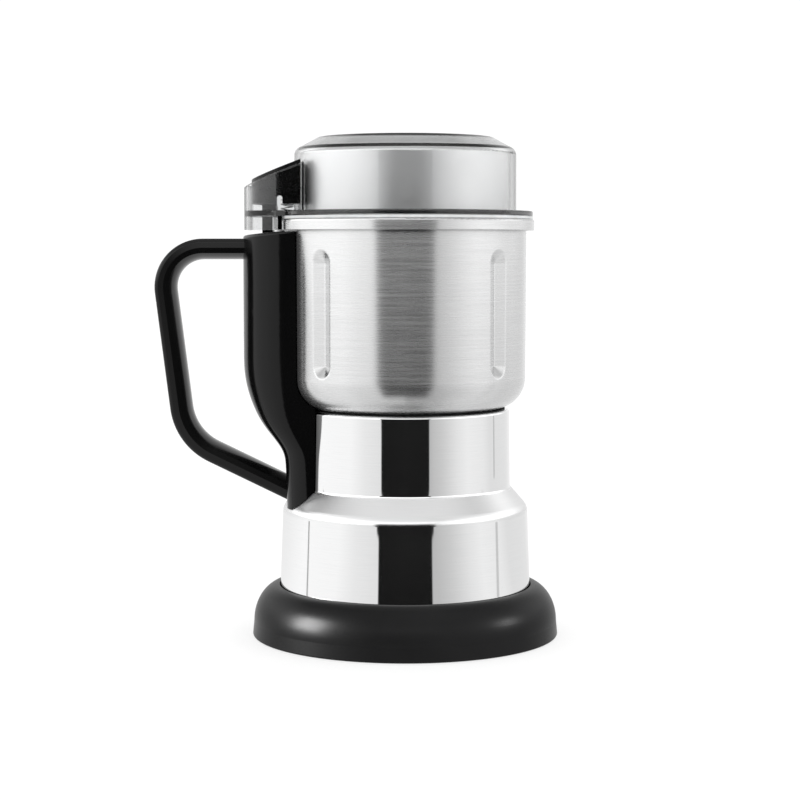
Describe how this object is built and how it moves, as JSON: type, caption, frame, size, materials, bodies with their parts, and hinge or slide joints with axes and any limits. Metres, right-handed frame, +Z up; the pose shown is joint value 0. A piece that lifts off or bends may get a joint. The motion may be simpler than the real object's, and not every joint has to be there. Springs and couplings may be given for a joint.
{
  "type": "electric grinder",
  "caption": "Upright electric spice and coffee grinder: steel bowl with spinning blades on a steel motor housing, black base, side D-handle, clear steel-lined lid with a thumb start button.",
  "frame": {"origin": "on the grinding axis at the plane of the feet", "axes": "+Z up along the grinding axis, -X towards the handle, -Y towards the viewer of the side with the handle on the left"},
  "size_m": [0.1617, 0.126, 0.2],
  "materials": {
    "black_plastic": "moulded black plastic, satin to gloss",
    "button_plastic": "moulded black plastic, gloss",
    "inner_plastic": "matte black moulding",
    "white_plastic": "natural acetal",
    "lead_insulation": "flexible wire insulation",
    "clear_plastic": "clear moulded styrene acrylonitrile, polished",
    "silicone": "translucent silicone",
    "rubber": "matte black rubber",
    "polished_steel": "mirror polished stainless steel",
    "brushed_steel": "stainless steel, brushed around",
    "satin_steel": "satin stainless steel",
    "blade_steel": "ground stainless steel",
    "screw_steel": "bright steel",
    "spring_steel": "drawn spring wire",
    "core_steel": "stacked electrical steel sheets",
    "winding_copper": "enamelled copper wire",
    "copper": "turned copper",
    "bronze": "sintered bronze and brass",
    "cast_aluminium": "as cast",
    "carbon": "pressed carbon"
  },
  "bodies": {
    "base": {"base_ring": "black_plastic", "base_plate": "inner_plastic", "base_screws": "screw_steel", "housing_screws": "screw_steel", "foot_ring": "rubber", "cord_grommet": "rubber", "motor_housing": "polished_steel", "bowl": "brushed_steel", "bowl_gasket": "rubber", "bowl_screws": "screw_steel", "shaft_seal": "rubber", "stator_core": "core_steel", "stator_coils": "winding_copper", "motor_upper_bracket": "cast_aluminium", "upper_bush": "bronze", "motor_lower_bracket": "cast_aluminium", "lower_bush": "bronze", "motor_bolts": "screw_steel", "brush_holders": "inner_plastic", "carbon_brushes": "carbon", "brush_springs": "spring_steel", "handle_shell": "black_plastic", "handle_cover": "inner_plastic", "cover_screws": "screw_steel", "handle_screws": "screw_steel", "rod_spring": "spring_steel", "switch_body": "inner_plastic", "switch_terminals": "bronze", "switch_screws": "screw_steel", "switch_leads": "lead_insulation"},
    "rotor": {"motor_shaft": "screw_steel", "armature_core": "core_steel", "armature_winding": "winding_copper", "commutator": "copper", "cooling_fan": "inner_plastic", "blade_spacer": "screw_steel", "blade_lower": "blade_steel", "blade_upper": "blade_steel", "blade_washer": "screw_steel", "blade_nut": "screw_steel"},
    "rod": {"push_rod": "white_plastic", "switch_plunger": "white_plastic"},
    "lid": {"lid_shell": "clear_plastic", "lid_liner": "satin_steel", "lid_seal": "silicone", "button_spring": "spring_steel"},
    "button": {"start_button": "button_plastic"}
  },
  "joints": [
    {"name": "lid_lift", "type": "slide", "parent": "base", "child": "lid", "axis": [0, 0, 1], "range_m": [0, 0.06]},
    {"name": "button_press", "type": "slide", "parent": "lid", "child": "button", "axis": [0, 0, -1], "range_m": [0, 0.002], "stiffness_N_per_m": 600, "springref_m": -0.003, "deforming": ["button_spring"]},
    {"name": "rod_push", "type": "slide", "parent": "base", "child": "rod", "axis": [0, 0, -1], "range_m": [0, 0.002], "stiffness_N_per_m": 400, "springref_m": -0.003, "deforming": ["rod_spring"]},
    {"name": "blade_spin", "type": "hinge", "parent": "base", "child": "rotor", "pos_m": [0, 0, 0], "axis": [0, 0, 1], "continuous": true}
  ],
  "couplings": [
    {"joint": "rod_push", "follows": "button_press", "ratio": 1}
  ]
}
